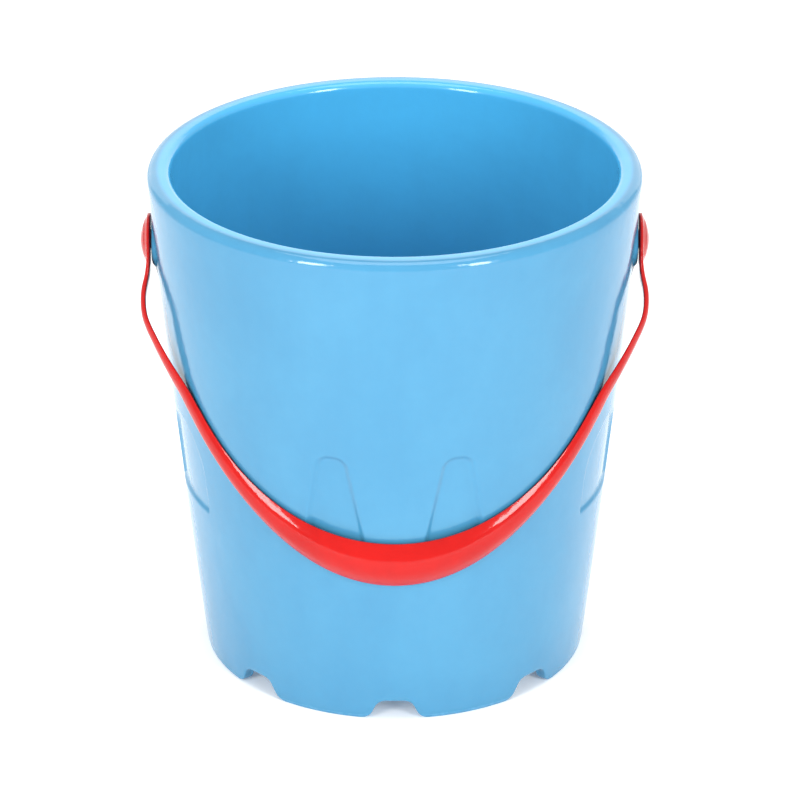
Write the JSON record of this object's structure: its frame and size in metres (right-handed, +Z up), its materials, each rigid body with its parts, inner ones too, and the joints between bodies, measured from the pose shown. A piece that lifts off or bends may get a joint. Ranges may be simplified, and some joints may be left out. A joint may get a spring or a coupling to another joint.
{
  "type": "sand bucket",
  "caption": "Tapered plastic sand bucket with a notched foot ring, castle niches pressed into its wall and a bail handle that swings over the rim on domed snap pins.",
  "frame": {"origin": "centre of the circle that the foot ring stands on", "axes": "+Z up along the bucket's axis, X along the bail's pivot axis, -Y towards the wall that the bail lies against"},
  "size_m": [0.1654, 0.1596, 0.169],
  "materials": {
    "shell_plastic": "thick, smooth sky-blue moulding with a soft glaze-like gloss",
    "bail_plastic": "glossy red moulding",
    "pin_plastic": "glossy red moulding"
  },
  "bodies": {
    "bucket": {"bucket_shell": "shell_plastic", "left_pivot_pin": "pin_plastic", "right_pivot_pin": "pin_plastic", "left_pin_cap": "pin_plastic", "right_pin_cap": "pin_plastic"},
    "bail": {"bail_handle": "bail_plastic"}
  },
  "joints": [
    {"name": "bail_swing", "type": "hinge", "parent": "bucket", "child": "bail", "pos_m": [0, 0, 0.1429], "axis": [-1, 0, 0], "range_deg": [0, 272]}
  ]
}
